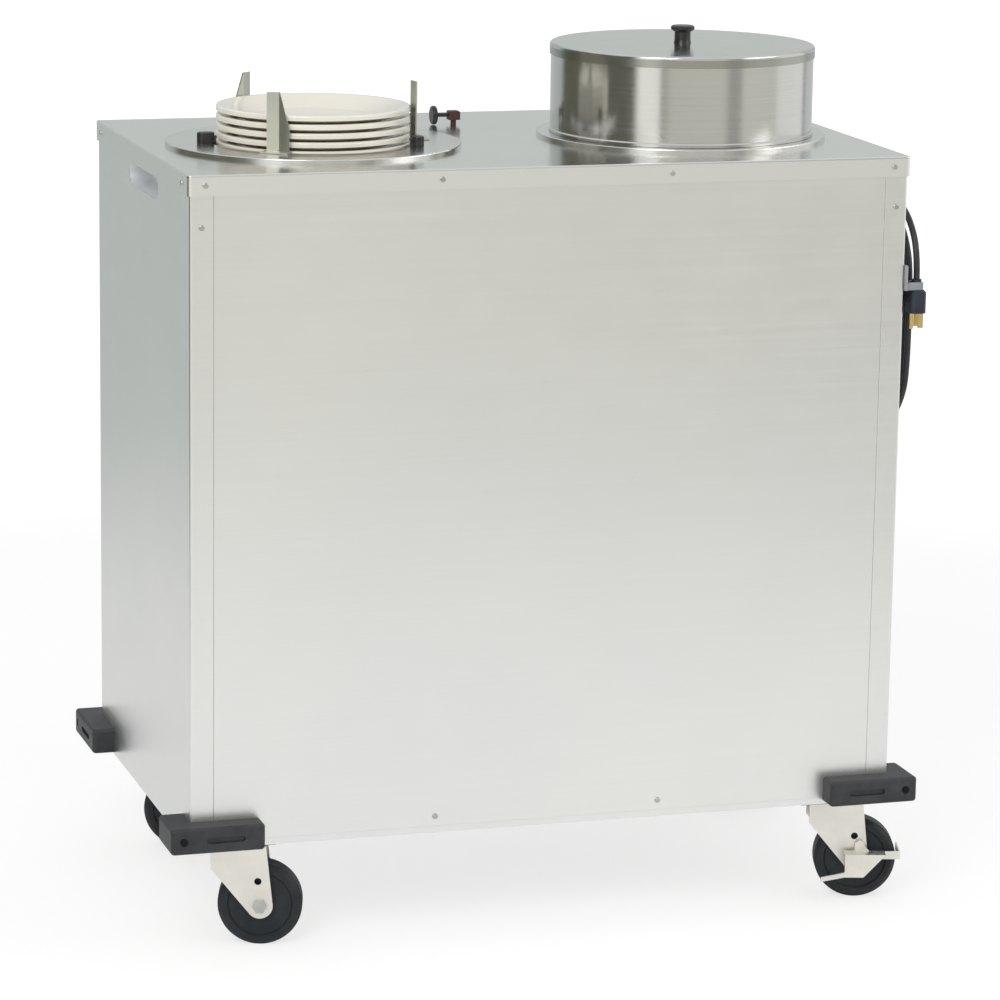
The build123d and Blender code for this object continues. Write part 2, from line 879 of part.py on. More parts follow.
def carrier(side, top):
    """The platform with its three legs, tie ring and spring ears."""
    points = (
        (0, top),
        (carrier_radius - sheet, top),
        (carrier_radius, top - sheet),
        (carrier_radius, top - carrier_rim),
        (carrier_radius - carrier_thick, top - carrier_rim),
        (carrier_radius - carrier_thick, top - carrier_thick),
        (0, top - carrier_thick),
    )
    body = turned(points)
    ear_low = top - carrier_leg_drop
    ring = post(carrier_leg_radius, ear_low, ear_low + carrier_ear_height)
    ring_inner = carrier_leg_radius - carrier_ring_width
    ring -= post(ring_inner, ear_low - sheet, ear_low + carrier_ear_height + sheet)
    body += ring
    for angle in ear_angles:
        leg = span(
            (carrier_leg_radius - carrier_leg_thick, carrier_leg_radius),
            (-carrier_leg_width / 2, carrier_leg_width / 2),
            (ear_low, top - carrier_thick),
        )
        ear = span(
            (ring_inner, carrier_ear_reach),
            (-carrier_ear_width / 2, carrier_ear_width / 2),
            (ear_low, ear_low + carrier_ear_height),
        )
        body += around(angle, leg + ear)
    return Pos(side * tube_x, tube_y, 0) * body


def spring_set(side, top):
    """Three extension springs between the collar and the carrier's ears."""
    low = top - carrier_leg_drop + carrier_ear_height + spring_gap
    springs = [around(angle, post(spring_radius, low, collar_z, spring_circle, 0)) for angle in ear_angles]
    return group([Pos(side * tube_x, tube_y, 0) * spring for spring in springs])


# Lid

def lid_shell():
    """The deep wall of the lid with its hemmed mouth."""
    low = flange_top + seat_gap
    high = cab_top + lid_top_above - lid_sheet
    hem = lid_radius + lid_band_step
    inner = lid_radius - lid_sheet
    points = (
        (inner, low),
        (hem, low),
        (hem, low + lid_hem_height),
        (lid_radius, low + lid_hem_height + lid_band_step),
        (lid_radius, high),
        (inner, high),
    )
    return turned(points, tube_x, tube_y)


def lid_cap():
    """The flat top of the lid, turned down as a band over the wall."""
    high = cab_top + lid_top_above
    band = lid_radius + lid_band_step
    points = (
        (0, high - lid_sheet),
        (lid_radius, high - lid_sheet),
        (lid_radius, high - lid_band_height),
        (band, high - lid_band_height),
        (band, high),
        (0, high),
    )
    cap = turned(points, tube_x, tube_y)
    return fillet(cap.edges().filter_by(GeomType.CIRCLE).sort_by(Axis.Z)[-1], lid_edge_round)


def lid_knob():
    """The spool-shaped knob on the lid."""
    low = cab_top + lid_top_above
    high = low + lid_knob_height
    disc_low = high - lid_knob_disc
    points = (
        (0, low),
        (lid_knob_foot, low),
        (lid_knob_neck, low + lid_knob_round * 2),
        (lid_knob_neck, disc_low - lid_knob_round),
        (lid_knob_radius - lid_knob_round, disc_low),
        (lid_knob_radius, disc_low + lid_knob_round),
        (lid_knob_radius, high - lid_knob_round),
        (lid_knob_radius - lid_knob_round, high),
        (0, high),
    )
    return turned(points, tube_x, tube_y)


# Controls

def temperature_block():
    """The block that carries the spindle, raised on a short stem."""
    x_low = control_x - control_block_length / 2
    x_high = control_x + control_block_length / 2
    z_low = cab_top + control_block_rise
    block = span(
        (x_low, x_high),
        (control_y - control_block_width / 2, control_y + control_block_width / 2),
        (z_low, z_low + control_block_height),
    )
    block = fillet(block.edges().filter_by(Axis.Y).sort_by(Axis.Z)[-2:], control_knob_round)
    block += post(control_stem_radius, cab_top, z_low, control_x, control_y)
    z = cab_top + control_axis_height
    bore_end = x_low + spindle_depth + seat_gap
    return block - pin_along_x(spindle_radius + running_fit, x_low - sheet, bore_end, control_y, z)


def temperature_knob():
    """The black disc knob and its spindle, which turn together."""
    x_block = control_x - control_block_length / 2
    x_high = x_block - control_knob_gap
    x_low = x_high - control_knob_width
    z = cab_top + control_axis_height
    disc = pin_along_x(control_knob_radius, x_low, x_high, control_y, z)
    disc = fillet(disc.edges().filter_by(GeomType.CIRCLE), control_knob_round)
    return disc + pin_along_x(spindle_radius, x_high - sheet, x_block + spindle_depth, control_y, z)


def switch_frame_piece():
    """The frame of the mains switch, snapped into the rear panel."""
    z = cab_top - switch_below_top
    half_w = switch_open_width / 2
    half_h = switch_open_height / 2
    flange_w = half_w + switch_frame
    flange_h = half_h + switch_frame
    frame = span(
        (switch_x - flange_w, switch_x + flange_w),
        (half_depth, half_depth + switch_frame_thick),
        (z - flange_h, z + flange_h),
    )
    frame += span(
        (switch_x - half_w - sheet, switch_x + half_w + sheet),
        (half_depth - switch_depth, half_depth),
        (z - half_h - sheet, z + half_h + sheet),
    )
    frame -= span(
        (switch_x - half_w, switch_x + half_w),
        (half_depth - switch_depth - sheet, half_depth + switch_frame_thick + sheet),
        (z - half_h, z + half_h),
    )
    pin_y = half_depth - switch_depth / 2
    reach = half_w + rocker_pin_length
    bore = rocker_pin_radius + running_fit
    return frame - pin_along_x(bore, switch_x - reach, switch_x + reach, pin_y, z)


def rocker():
    """The rocker of the mains switch on its two pivot pins."""
    z = cab_top - switch_below_top
    half_w = switch_open_width / 2 - rocker_side_gap
    half_h = switch_open_height / 2 - rocker_end_gap
    pin_y = half_depth - switch_depth / 2
    face_y = half_depth + rocker_proud
    body = span(
        (switch_x - half_w, switch_x + half_w),
        (face_y - rocker_depth, face_y),
        (z - half_h, z + half_h),
    )
    body = fillet(body.edges().filter_by(Axis.X), rocker_end_gap)
    reach = switch_open_width / 2 + rocker_pin_length - running_fit
    return body + pin_along_x(rocker_pin_radius, switch_x - reach, switch_x + reach, pin_y, z)


# Mains cord

def cord_plane_point(y, z):
    return Vector(cord_x, y, z)


def corner_radii(points):
    """The radius of each corner: as large as its two runs allow."""
    radii = []
    for before, corner, after in zip(points, points[1:], points[2:]):
        run_in = Vector(*corner) - Vector(*before)
        run_out = Vector(*after) - Vector(*corner)
        turn = radians(run_in.get_angle(run_out))
        shorter = min(run_in.length, run_out.length)
        radii.append(cord_bend_share * shorter / tan(turn / 2))
    return radii


def free_cord(name, flat_points):
    """A free stretch of the cord: straight runs joined by tangent arcs."""
    points = [(cord_x, y, z) for y, z in flat_points]
    radii = corner_radii(points)
    path = FilletPolyline(*points, radius=radii)
    section = Plane(origin=path @ 0, z_dir=path % 0) * Circle(cord_radius)
    tube = sweep(section, path=path)
    expected = pi * cord_radius ** 2 * path.length
    print(name, "radii", [round(radius, 1) for radius in radii], "length", round(path.length, 1))
    print(name, "volume over section times length", round(tube.volume / expected, 5))
    return tube, path.length


def winding_path():
    """Half turns of growing radius, joined by the upright runs of an oval."""
    half_straight = winding_straight / 2
    step = winding_pitch / 2
    z_low = winding_z - half_straight
    z_high = winding_z + half_straight
    edge = winding_y + winding_inner_radius
    radius = winding_start_radius
    centre = edge - radius
    start = cord_plane_point(centre, z_low - radius)
    diagonal = radius / sqrt(2)
    middle = cord_plane_point(centre + diagonal, z_low - diagonal)
    pieces = [Line(start - Vector(0, winding_end_run, 0), start)]
    pieces.append(ThreePointArc(start, middle, cord_plane_point(edge, z_low)))
    radius = winding_inner_radius
    for turn in range(winding_turns):
        pieces.append(Line(cord_plane_point(edge, z_low), cord_plane_point(edge, z_high)))
        radius += step
        centre = edge - radius
        pieces.append(half_turn(centre, z_high, radius, 1))
        edge = centre - radius
        pieces.append(Line(cord_plane_point(edge, z_high), cord_plane_point(edge, z_low)))
        radius += step
        centre = edge + radius
        pieces.append(half_turn(centre, z_low, radius, -1))
        edge = centre + radius
    pieces.append(Line(cord_plane_point(edge, z_low), cord_plane_point(edge, z_high)))
    radius += step
    centre = edge - radius
    diagonal = radius / sqrt(2)
    middle = cord_plane_point(centre + diagonal, z_high + diagonal)
    end = cord_plane_point(centre, z_high + radius)
    pieces.append(ThreePointArc(cord_plane_point(edge, z_high), middle, end))
    pieces.append(Line(end, end - Vector(0, winding_end_run, 0)))
    return Wire(pieces)


def half_turn(centre, z, radius, direction):
    """Half a turn over the top (direction 1) or under the bottom (direction -1)."""
    start = cord_plane_point(centre + direction * radius, z)
    middle = cord_plane_point(centre, z + direction * radius)
    end = cord_plane_point(centre - direction * radius, z)
    return ThreePointArc(start, middle, end)


def least_gap(path):
    """The least clear gap between one turn of the winding and the next, on points."""
    count = int(path.length / (cord_diameter / 2))
    places = [path @ (index / count) for index in range(count + 1)]
    apart = int(2 * pi * winding_inner_radius / path.length * count * winding_neighbour)
    least = path.length
    for index, place in enumerate(places):
        for other in places[index + apart:]:
            least = min(least, (place - other).length)
    return least - cord_diameter


def cord_winding():
    """The cord wound in an oval on the two hooks, one unbroken tube."""
    path = winding_path()
    section = Plane(origin=path @ 0, z_dir=path % 0) * Circle(cord_radius)
    tube = sweep(section, path=path)
    expected = pi * cord_radius ** 2 * path.length
    print("cord_winding length", round(path.length, 1), "end", path @ 1)
    print("cord_winding volume over section times length", round(tube.volume / expected, 5))
    print("cord_winding least gap", round(least_gap(path), 2))
    return tube, path.length


def cord_gland():
    """An elbow outlet on the end panel whose tapered boot points down."""
    y, z_boot = lead_points[0]
    z_body = z_boot + gland_boot_length + gland_body_radius
    body = pin_along_x(gland_base_radius, half_width, half_width + gland_base_thick, y, z_body)
    body += pin_along_x(gland_body_radius, half_width, cord_x, y, z_body)
    body += Pos(cord_x, y, z_body) * Sphere(gland_body_radius)
    boot = turned(
        (
            (0, z_boot),
            (gland_boot_tip, z_boot),
            (gland_body_radius - sheet, z_boot + gland_boot_length),
            (gland_body_radius - sheet, z_body),
            (0, z_body),
        ),
        cord_x,
        y,
    )
    return body + boot


def cord_hook(upper):
    """A bracket with an arm inside the winding and a lip that keeps the turns on."""
    half = hook_width / 2
    outward = 1 if upper else -1
    if upper:
        radius = winding_inner_radius + winding_pitch / 2
        centre = winding_y - winding_pitch / 2
    else:
        radius = winding_inner_radius + winding_pitch
        centre = winding_y
    turn_inside = winding_z + outward * (winding_straight / 2 + radius - cord_radius)
    arm_face = turn_inside - outward * hook_gap
    arm_back = arm_face - outward * hook_thick
    base_end = arm_back - outward * hook_base_height
    across = (centre - half, centre + half)
    reach = half_width + hook_reach
    arm = span((half_width, reach), across, (arm_back, arm_face))
    base = span((half_width, half_width + hook_thick), across, (base_end, arm_face))
    lip = span((reach - hook_thick, reach), across, (arm_back, arm_face + outward * hook_lip))
    return arm + base + lip


def plug_body():
    """The moulded plug, parked neck up in its clip."""
    y, z_neck = tail_points[-1]
    z_body = z_neck - plug_neck_length
    z_low = z_body - plug_body_length
    body = span(
        (cord_x - plug_thick / 2, cord_x + plug_thick / 2),
        (y - plug_width / 2, y + plug_width / 2),
        (z_low, z_body),
    )
    body = fillet(body.edges().filter_by(Axis.Z), plug_round * 2)
    body = chamfer(body.faces().sort_by(Axis.Z)[-1].edges(), plug_round)
    body += post(plug_neck_radius, z_body - sheet, z_neck, cord_x, y)
    for blade in plug_blade_shapes(sheet_fit):
        body -= blade
    return body


def plug_blade_shapes(extra):
    """Two flat blades and a round ground pin, seated in the face of the plug."""
    y, z_neck = tail_points[-1]
    z_face = z_neck - plug_neck_length - plug_body_length
    z_low = z_face - blade_length
    z_high = z_face + blade_seat
    shapes = []
    for side in (-1, 1):
        y_mid = y + side * blade_spacing / 2
        x_mid = cord_x + blade_offset
        half_t = blade_thick / 2 + extra
        half_w = blade_width / 2 + extra
        blade = span(
            (x_mid - half_w, x_mid + half_w),
            (y_mid - half_t, y_mid + half_t),
            (z_low, z_high + extra),
        )
        shapes.append(blade)
    shapes.append(post(ground_radius + extra, z_low - sheet, z_high + extra, cord_x - ground_offset, y))
    return shapes


def plug_clip():
    """A two-fingered clip on the end panel that holds the neck of the parked plug."""
    y, z_neck = tail_points[-1]
    z_low = z_neck - plug_neck_length + clip_gap
    half = clip_width / 2
    opening = plug_neck_radius + clip_gap
    clip = span((half_width, half_width + clip_base), (y - half, y + half), (z_low, z_low + clip_height))
    for side in (-1, 1):
        finger = span(
            (half_width, half_width + clip_reach),
            (y + side * opening, y + side * (opening + clip_finger)),
            (z_low, z_low + clip_finger_height),
        )
        clip += finger
    return clip


# Screws

def screw_head():
    head = Cylinder(screw_radius, screw_height, align=(Align.CENTER, Align.CENTER, Align.MIN))
    return fillet(head.faces().sort_by(Axis.Z)[-1].edges(), screw_round)


def screw_on_front(front, x, z, y_face):
    turn = Rot(90, 0, 0) if front < 0 else Rot(-90, 0, 0)
    return Pos(x, front * y_face, z) * turn * screw_head()


def screw_on_end(side, y, z, x_face):
    turn = Rot(0, 90 * side, 0)
    return Pos(side * x_face, y, z) * turn * screw_head()


def all_screws():
    """Every visible screw and rivet head of the cabinet and its bumpers."""
    heads = []
    strip_x = half_width - strip_width / 2
    skirt_face = half_depth + top_gap + top_sheet
    skirt_z = cab_top - skirt_height / 2
    for front in (-1, 1):
        for x in front_screw_columns:
            heads.append(screw_on_front(front, x, cab_bottom + front_screw_rise, half_depth))
        for x in skirt_screw_columns:
            heads.append(screw_on_front(front, x, skirt_z, skirt_face))
        for side in (-1, 1):
            z = cab_top - strip_screw_drop
            heads.append(screw_on_front(front, side * strip_x, z, half_depth))
            heads.append(at_corner(side, front, bumper_screw()))
    for side in (-1, 1):
        for front in (-1, 1):
            y = front * (half_depth - strip_width)
            heads.append(screw_on_end(side, y, skirt_z, half_width + top_gap + top_sheet))
    return group(heads)


def bumper_screw():
    """The screw in the dimple of the bumper at the front left corner."""
    x = bumper_dimple_from_corner - bumper_reach
    z = cab_bottom + bumper_lift + bumper_height / 2
    return screw_on_front(-1, x, z, bumper_reach - bumper_dimple_depth)


# Writing the nodes

side_names = {-1: "left", 1: "right"}
front_names = {-1: "front", 1: "rear"}

save("base_pan", base_pan())
save("front_panel", face_panel(-1))
save("rear_panel", rear_panel())
save("top_panel", top_panel())
save("screws", all_screws())
save("handhold_cups", group([hold_cup(-1), hold_cup(1)]))
save("silo_floors", group([silo_floor(-1), silo_floor(1)]))
save("heater_elements", group([heater_element(-1), heater_element(1)]))
save("corner_bumpers", group([at_corner(side, front, bumper()) for side, front in caster_places()]))
save("caster_plates", group([caster_plate(side, front) for side, front in caster_places()]))

for side, side_name in side_names.items():
    save("side_panel_" + side_name, side_panel(side))
    save("silo_flange_" + side_name, silo_flange(side))
    save("silo_tube_" + side_name, silo_tube(side))
    for number, angle in enumerate(guide_angles):
        save("guide_" + side_name + "_" + str(number + 1), guide(side, angle))
    for number, angle in enumerate(lock_angles):
        turn = lock_turns[number]
        save("lock_knob_" + side_name + "_" + str(number + 1), lock_knob(side, angle, turn))

for side, front in caster_places():
    place = front_names[front] + "_" + side_names[side]
    save("caster_fork_" + place, swivelled(side, front, caster_fork(side, front)))
    save("caster_wheel_" + place, swivelled(side, front, caster_wheel(side, front)))
    save("caster_axle_" + place, swivelled(side, front, caster_axle(side, front)))

for front, front_name in front_names.items():
    save("brake_lever_" + front_name, swivelled(1, front, brake_lever(front)))

save("carrier_left", carrier(-1, carrier_left))
save("carrier_right", carrier(1, carrier_high))
save("springs_left", spring_set(-1, carrier_left))
save("springs_right", spring_set(1, carrier_high))
save("plate_stack", plate_stack())
save("lid_shell", lid_shell())
save("lid_cap", lid_cap())
save("lid_knob", lid_knob())
save("temperature_block", temperature_block())
save("temperature_knob", temperature_knob())
save("switch_frame", switch_frame_piece())
save("switch_rocker", rocker())

lead, lead_length = free_cord("cord_lead", lead_points)
tail, tail_length = free_cord("cord_tail", tail_points)
winding, winding_length = cord_winding()
save("cord_lead", lead)
save("cord_tail", tail)
save("cord_winding", winding)
save("cord_gland", cord_gland())
save("cord_hooks", group([cord_hook(True), cord_hook(False)]))
save("plug_body", plug_body())
save("plug_blades", group(plug_blade_shapes(0)))
save("plug_clip", plug_clip())
print("whole cord", round(lead_length + winding_length + tail_length, 1))
print("carrier tops", round(carrier_left, 2), round(carrier_high, 2))
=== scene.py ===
from math import cos, pi, radians, sin

import bpy
from mathutils import Matrix, Vector


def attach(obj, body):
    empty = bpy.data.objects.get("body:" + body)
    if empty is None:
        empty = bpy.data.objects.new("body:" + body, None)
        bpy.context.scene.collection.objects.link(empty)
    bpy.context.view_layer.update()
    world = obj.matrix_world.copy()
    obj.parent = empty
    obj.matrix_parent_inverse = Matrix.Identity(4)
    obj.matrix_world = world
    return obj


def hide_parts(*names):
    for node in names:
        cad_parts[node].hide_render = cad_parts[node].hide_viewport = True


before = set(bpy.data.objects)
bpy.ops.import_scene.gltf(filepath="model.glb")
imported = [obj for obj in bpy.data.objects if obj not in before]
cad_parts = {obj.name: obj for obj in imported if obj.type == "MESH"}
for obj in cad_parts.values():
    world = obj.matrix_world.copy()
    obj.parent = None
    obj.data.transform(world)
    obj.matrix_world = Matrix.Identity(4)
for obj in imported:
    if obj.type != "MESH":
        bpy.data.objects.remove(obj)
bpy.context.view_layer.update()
scene = bpy.context.scene
print("frame loaded")


# Camera, at the photographer's place

cameraValues = {
    "place": (-1.48496, -4.8555, 1.57578),
    "yaw": 17.15,  # degrees to the right of straight ahead
    "pitch": 12.262,  # degrees down
    "roll": 0.852,
    "lens": 151.97,
    "sensor": 36,
    "sight": 60,  # metres
}


def addCamera(values):
    yaw, pitch, roll = (radians(values[key]) for key in ("yaw", "pitch", "roll"))
    ahead = Vector((sin(yaw) * cos(pitch), cos(yaw) * cos(pitch), -sin(pitch)))
    right = Vector((cos(yaw), -sin(yaw), 0))
    up = right.cross(ahead)
    tiltedRight = right * cos(roll) + up * sin(roll)
    tiltedUp = up * cos(roll) - right * sin(roll)
    turn = Matrix((tiltedRight, tiltedUp, -ahead)).transposed()
    camera = bpy.data.objects.new("camera", bpy.data.cameras.new("camera"))
    camera.data.lens = values["lens"]
    camera.data.sensor_width = values["sensor"]
    camera.data.clip_end = values["sight"]
    camera.matrix_world = Matrix.Translation(values["place"]) @ turn.to_4x4()
    scene.collection.objects.link(camera)
    scene.camera = camera


addCamera(cameraValues)
scene.view_settings.view_transform = "Standard"
print("camera placed")


# Helpers that every material below is made with

everyWay = (1, 1, 1)  # noise that isn't stretched


def newMaterial(name):
    material = bpy.data.materials.new(name)
    material.use_nodes = True
    tree = material.node_tree
    return material, tree, tree.nodes["Principled BSDF"]


def placeOn(tree, output="Object"):
    place = tree.nodes.new("ShaderNodeTexCoord")
    split = tree.nodes.new("ShaderNodeSeparateXYZ")
    tree.links.new(place.outputs[output], split.inputs[0])
    return split.outputs


def noiseOn(tree, stretch=everyWay, scale=1.0, detail=3.0, rough=0.5):
    place = tree.nodes.new("ShaderNodeTexCoord")
    mapping = tree.nodes.new("ShaderNodeMapping")
    mapping.inputs["Scale"].default_value = stretch
    tree.links.new(place.outputs["Object"], mapping.inputs["Vector"])
    noise = tree.nodes.new("ShaderNodeTexNoise")
    noise.inputs["Scale"].default_value = scale
    noise.inputs["Detail"].default_value = detail
    noise.inputs["Roughness"].default_value = rough
    tree.links.new(mapping.outputs["Vector"], noise.inputs["Vector"])
    return noise.outputs["Fac"]


def spread(tree, value, low, high, fromLow=0.3, fromHigh=0.7):
    mapRange = tree.nodes.new("ShaderNodeMapRange")
    mapRange.inputs["From Min"].default_value = fromLow
    mapRange.inputs["From Max"].default_value = fromHigh
    mapRange.inputs["To Min"].default_value = low
    mapRange.inputs["To Max"].default_value = high
    tree.links.new(value, mapRange.inputs["Value"])
    return mapRange.outputs["Result"]


def fill(tree, socket, value):
    if isinstance(value, bpy.types.NodeSocket):
        tree.links.new(value, socket)
    elif isinstance(value, (int, float)):
        socket.default_value = value
    else:
        socket.default_value = (*value, 1)


def blendColour(tree, factor, first, second, kind="MIX"):
    mix = tree.nodes.new("ShaderNodeMix")
    mix.data_type = "RGBA"
    mix.blend_type = kind
    fill(tree, mix.inputs[0], factor)
    fill(tree, mix.inputs[6], first)
    fill(tree, mix.inputs[7], second)
    return mix.outputs[2]


def combine(tree, operation, first, second):
    node = tree.nodes.new("ShaderNodeMath")
    node.operation = operation
    fill(tree, node.inputs[0], first)
    fill(tree, node.inputs[1], second)
    return node.outputs[0]


def bumpFrom(tree, height, strength, distance, under=None):
    bump = tree.nodes.new("ShaderNodeBump")
    bump.inputs["Strength"].default_value = strength
    bump.inputs["Distance"].default_value = distance
    tree.links.new(height, bump.inputs["Height"])
    if under is not None:
        tree.links.new(under, bump.inputs["Normal"])
    return bump.outputs["Normal"]


# Steel finishes: the grain runs along the smallest of the three numbers

alongSides = (2.5, 2.5, 900)
alongTop = (2.5, 700, 2.5)
roundTheLid = (4, 4, 900)
alongBlade = (350, 350, 3)
noDirection = (60, 60, 60)

usualSteel = {"grain": noDirection, "bump": 0.05, "cloud": 2.4, "streaks": 0.04, "metal": 1.0}

sheetSteel = {
    **usualSteel,
    "light": (0.86, 0.86, 0.84),
    "dark": (0.82, 0.83, 0.82),
    "low": 0.29,  # least roughness
    "high": 0.36,
    "grain": alongSides,
    "bump": 0.025,
    "streaks": 0.014,
}
topSteel = {
    **usualSteel,
    "light": (0.77, 0.77, 0.755),
    "dark": (0.73, 0.735, 0.725),
    "low": 0.15,
    "high": 0.21,
    "grain": alongTop,
    "bump": 0.02,
    "streaks": 0.02,
}
cupSteel = {
    **usualSteel,
    "light": (0.80, 0.82, 0.83),
    "dark": (0.74, 0.76, 0.77),
    "low": 0.40,
    "high": 0.50,
    "grain": alongSides,
    "metal": 0.4,
}
ringSteel = {
    **usualSteel,
    "light": (0.72, 0.72, 0.70),
    "dark": (0.64, 0.645, 0.63),
    "low": 0.17,
    "high": 0.24,
    "bump": 0.02,
}
lidSteel = {
    **usualSteel,
    "light": (0.64, 0.635, 0.61),
    "dark": (0.58, 0.58, 0.57),
    "low": 0.11,
    "high": 0.17,
    "grain": roundTheLid,
    "bump": 0.03,
}
guideSteel = {
    **usualSteel,
    "light": (0.62, 0.62, 0.56),
    "dark": (0.50, 0.51, 0.46),
    "low": 0.30,
    "high": 0.42,
    "grain": alongBlade,
    "bump": 0.06,
}
innerSteel = {
    **usualSteel,
    "light": (0.64, 0.63, 0.62),
    "dark": (0.52, 0.52, 0.52),
    "low": 0.35,
    "high": 0.50,
    "grain": alongSides,
    "bump": 0.06,
}
zincSteel = {
    **usualSteel,
    "light": (0.90, 0.88, 0.82),
    "dark": (0.78, 0.76, 0.70),
    "low": 0.32,
    "high": 0.48,
    "cloud": 14,
}
boltSteel = {
    **usualSteel,
    "light": (0.60, 0.60, 0.58),
    "dark": (0.42, 0.42, 0.42),
    "low": 0.28,
    "high": 0.42,
    "cloud": 30,
}


def steel(name, values):
    material, tree, shader = newMaterial(name)
    lines = noiseOn(tree, values["grain"], detail=2.0, rough=0.6)
    cloud = noiseOn(tree, scale=values["cloud"], detail=4.0, rough=0.55)
    smudge = noiseOn(tree, (1, 1, 1.6), scale=values["cloud"] * 9, detail=5.0, rough=0.65)
    tone = blendColour(tree, spread(tree, cloud, 0, 1), values["dark"], values["light"])
    streak = spread(tree, lines, 1 - values["streaks"], 1 + values["streaks"] / 2)
    tone = blendColour(tree, 1.0, tone, streak, "MULTIPLY")
    tree.links.new(tone, shader.inputs["Base Color"])
    gloss = spread(tree, lines, values["low"], values["high"])
    gloss = combine(tree, "ADD", gloss, spread(tree, smudge, -0.02, 0.03))
    tree.links.new(gloss, shader.inputs["Roughness"])
    tree.links.new(bumpFrom(tree, lines, values["bump"], 0.0002), shader.inputs["Normal"])
    shader.inputs["Metallic"].default_value = values["metal"]
    return material


frontSheet = steel("satinSheet", sheetSteel)
topSheet = steel("brightTopSheet", topSteel)
cupMetal = steel("handHoldCup", cupSteel)
ringMetal = steel("polishedRing", ringSteel)
lidMetal = steel("polishedLid", lidSteel)
guideMetal = steel("guideBlade", guideSteel)
innerMetal = steel("tubeSteel", innerSteel)
zincMetal = steel("zincPlate", zincSteel)
boltMetal = steel("boltSteel", boltSteel)


# Sheets that change below a fold: the skirt of the top is duller satin steel, and the band of the
# lid's cap is darkened with a painted dark reflection

skirtValues = {"below": 0.9175, "tone": (0.86, 0.86, 0.84), "rough": 0.36}
# The band of the lid's cap is painted dark as a reflection, far darker than the lid's own steel
capPaintedReflectionValues = {"below": 1.0285, "tone": (0.40, 0.405, 0.37), "rough": 0.26}
capSteel = {**lidSteel, "grain": noDirection, "bump": 0.02}


def toneAndRoughnessBelow(material, values):
    tree = material.node_tree
    shader = tree.nodes["Principled BSDF"]
    isBelow = combine(tree, "LESS_THAN", placeOn(tree)["Z"], values["below"])
    tone = shader.inputs["Base Color"].links[0].from_socket
    # Below the fold the tone is swapped: satin steel on the skirt, and a painted dark reflection on
    # the cap's band
    tree.links.new(blendColour(tree, isBelow, tone, values["tone"]), shader.inputs["Base Color"])
    rough = shader.inputs["Roughness"].links[0].from_socket
    more = combine(tree, "MULTIPLY", isBelow, values["rough"])
    tree.links.new(combine(tree, "MAXIMUM", rough, more), shader.inputs["Roughness"])


capMetal = steel("lidCap", capSteel)
toneAndRoughnessBelow(topSheet, skirtValues)
# Painted dark reflection on the band of the lid's cap
toneAndRoughnessBelow(capMetal, capPaintedReflectionValues)


# Screw heads: bright on the cabinet, and painted black as shade in the dimples of the bumpers

# black is painted shade: the screw heads sunk in the bumper dimples are coloured near black
screwValues = {"black": (0.02, 0.02, 0.022), "below": 0.17, "beyond": 0.43}


def screwHeads(values):
    material = steel("screwHeads", boltSteel)
    tree = material.node_tree
    shader = tree.nodes["Principled BSDF"]
    place = placeOn(tree)
    isLow = combine(tree, "LESS_THAN", place["Z"], values["below"])
    fromMiddle = combine(tree, "ABSOLUTE", place["X"], 0)
    isOutside = combine(tree, "GREATER_THAN", fromMiddle, values["beyond"])
    paintedShadeMask = combine(tree, "MULTIPLY", isLow, isOutside)
    tone = shader.inputs["Base Color"].links[0].from_socket
    # Painted shade: screw heads in the bumper dimples take the near-black tone
    tree.links.new(blendColour(tree, paintedShadeMask, tone, values["black"]), shader.inputs["Base Color"])
    return material


screwMetal = screwHeads(screwValues)


# Caster plate: a flat darkened grey with painted shade from the cabinet above, over a rust-coloured
# race

plateValues = {
    # The flat's grey is painted shade, for the shadow under the cabinet
    "flat": (0.34, 0.33, 0.31),
    "race": (0.36, 0.17, 0.09),
    "kingpin": (0.55, 0.54, 0.51),
    "raceTop": 0.1262,
    "pinTop": 0.1229,
    "metal": 0.75,
}


def casterPlateMetal(values):
    material, tree, shader = newMaterial("casterPlateAndRace")
    height = placeOn(tree)["Z"]
    stain = noiseOn(tree, scale=90, detail=5)
    inPaintedShade = combine(tree, "GREATER_THAN", height, values["raceTop"])
    isPin = combine(tree, "LESS_THAN", height, values["pinTop"])
    # Painted shade: the plate's flat takes the dark grey tone
    tone = blendColour(tree, inPaintedShade, values["race"], values["flat"])
    tone = blendColour(tree, isPin, tone, values["kingpin"])
    tone = blendColour(tree, 1.0, tone, spread(tree, stain, 0.72, 1.12), "MULTIPLY")
    tree.links.new(tone, shader.inputs["Base Color"])
    tree.links.new(spread(tree, stain, 0.38, 0.6), shader.inputs["Roughness"])
    tree.links.new(bumpFrom(tree, stain, 0.12, 0.0004), shader.inputs["Normal"])
    shader.inputs["Metallic"].default_value = values["metal"]
    return material


casterPlate = casterPlateMetal(plateValues)


# Heating element with heat stains, and brass blades of the plug: metals that are mottled all over

elementValues = {
    "first": (0.24, 0.23, 0.23),
    "second": (0.13, 0.09, 0.07),
    "mottling": 28,
    "detail": 6,
    "low": 0.45,
    "high": 0.7,
    "bump": 0.15,
    "depth": 0.0003,
    "metal": 0.7,
}
brassValues = {
    "first": (0.80, 0.62, 0.28),
    "second": (0.62, 0.47, 0.22),
    "mottling": 160,
    "detail": 5,
    "low": 0.25,
    "high": 0.4,
    "bump": 0.06,
    "depth": 0.0002,
    "metal": 1.0,
}


